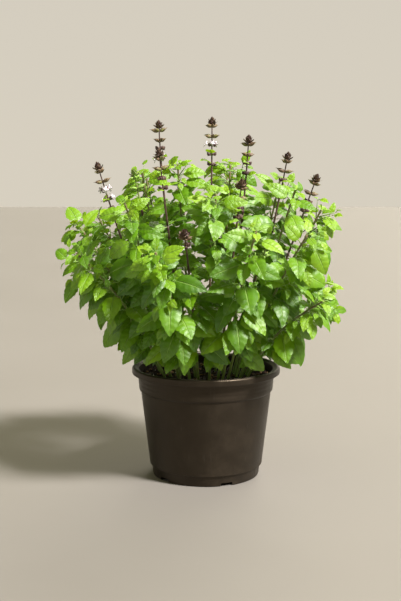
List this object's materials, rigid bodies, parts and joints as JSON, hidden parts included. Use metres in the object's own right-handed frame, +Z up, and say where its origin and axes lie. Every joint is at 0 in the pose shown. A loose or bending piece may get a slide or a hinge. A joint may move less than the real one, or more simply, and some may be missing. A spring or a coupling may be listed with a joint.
{
  "type": "potted basil plant",
  "caption": "Bushy flowering basil with opposite serrate leaves and dark flower spikes, in a round tapered plastic nursery pot with a rolled rim.",
  "frame": {"origin": "middle of the flat underside that the pot stands on", "axes": "+Z up through the plant, -Y towards the side that the picture shows, +X to its right"},
  "size_m": [0.327, 0.32, 0.41],
  "materials": {
    "pot_plastic": "satin",
    "potting_soil": "matte",
    "leaf": "satin",
    "flower_spike": "matte"
  },
  "bodies": {
    "root": {"pot": "pot_plastic", "soil": "potting_soil", "spike_01": "flower_spike", "spike_02": "flower_spike", "spike_03": "flower_spike", "spike_04": "flower_spike", "spike_05": "flower_spike", "spike_06": "flower_spike", "spike_07": "flower_spike", "spike_08": "flower_spike", "spike_09": "flower_spike", "spike_10": "flower_spike", "spike_11": "flower_spike", "spike_12": "flower_spike", "stem_01": "leaf", "stem_02": "leaf", "stem_03": "leaf", "stem_04": "leaf", "stem_05": "leaf", "stem_06": "leaf", "stem_07": "leaf", "stem_08": "leaf", "stem_09": "leaf", "stem_10": "leaf", "stem_11": "leaf", "stem_12": "leaf", "stem_13": "leaf", "stem_14": "leaf", "stem_15": "leaf", "stem_16": "leaf", "stem_17": "leaf", "stem_18": "leaf", "stem_19": "leaf", "stem_20": "leaf", "stem_21": "leaf", "stem_22": "leaf", "stem_23": "leaf", "stem_24": "leaf", "stem_25": "leaf", "stem_26": "leaf", "stem_27": "leaf", "stem_28": "leaf", "stem_29": "leaf", "stem_30": "leaf", "stem_31": "leaf", "stem_32": "leaf", "stem_33": "leaf", "stem_34": "leaf", "stem_35": "leaf", "stem_36": "leaf"}
  },
  "joints": []
}
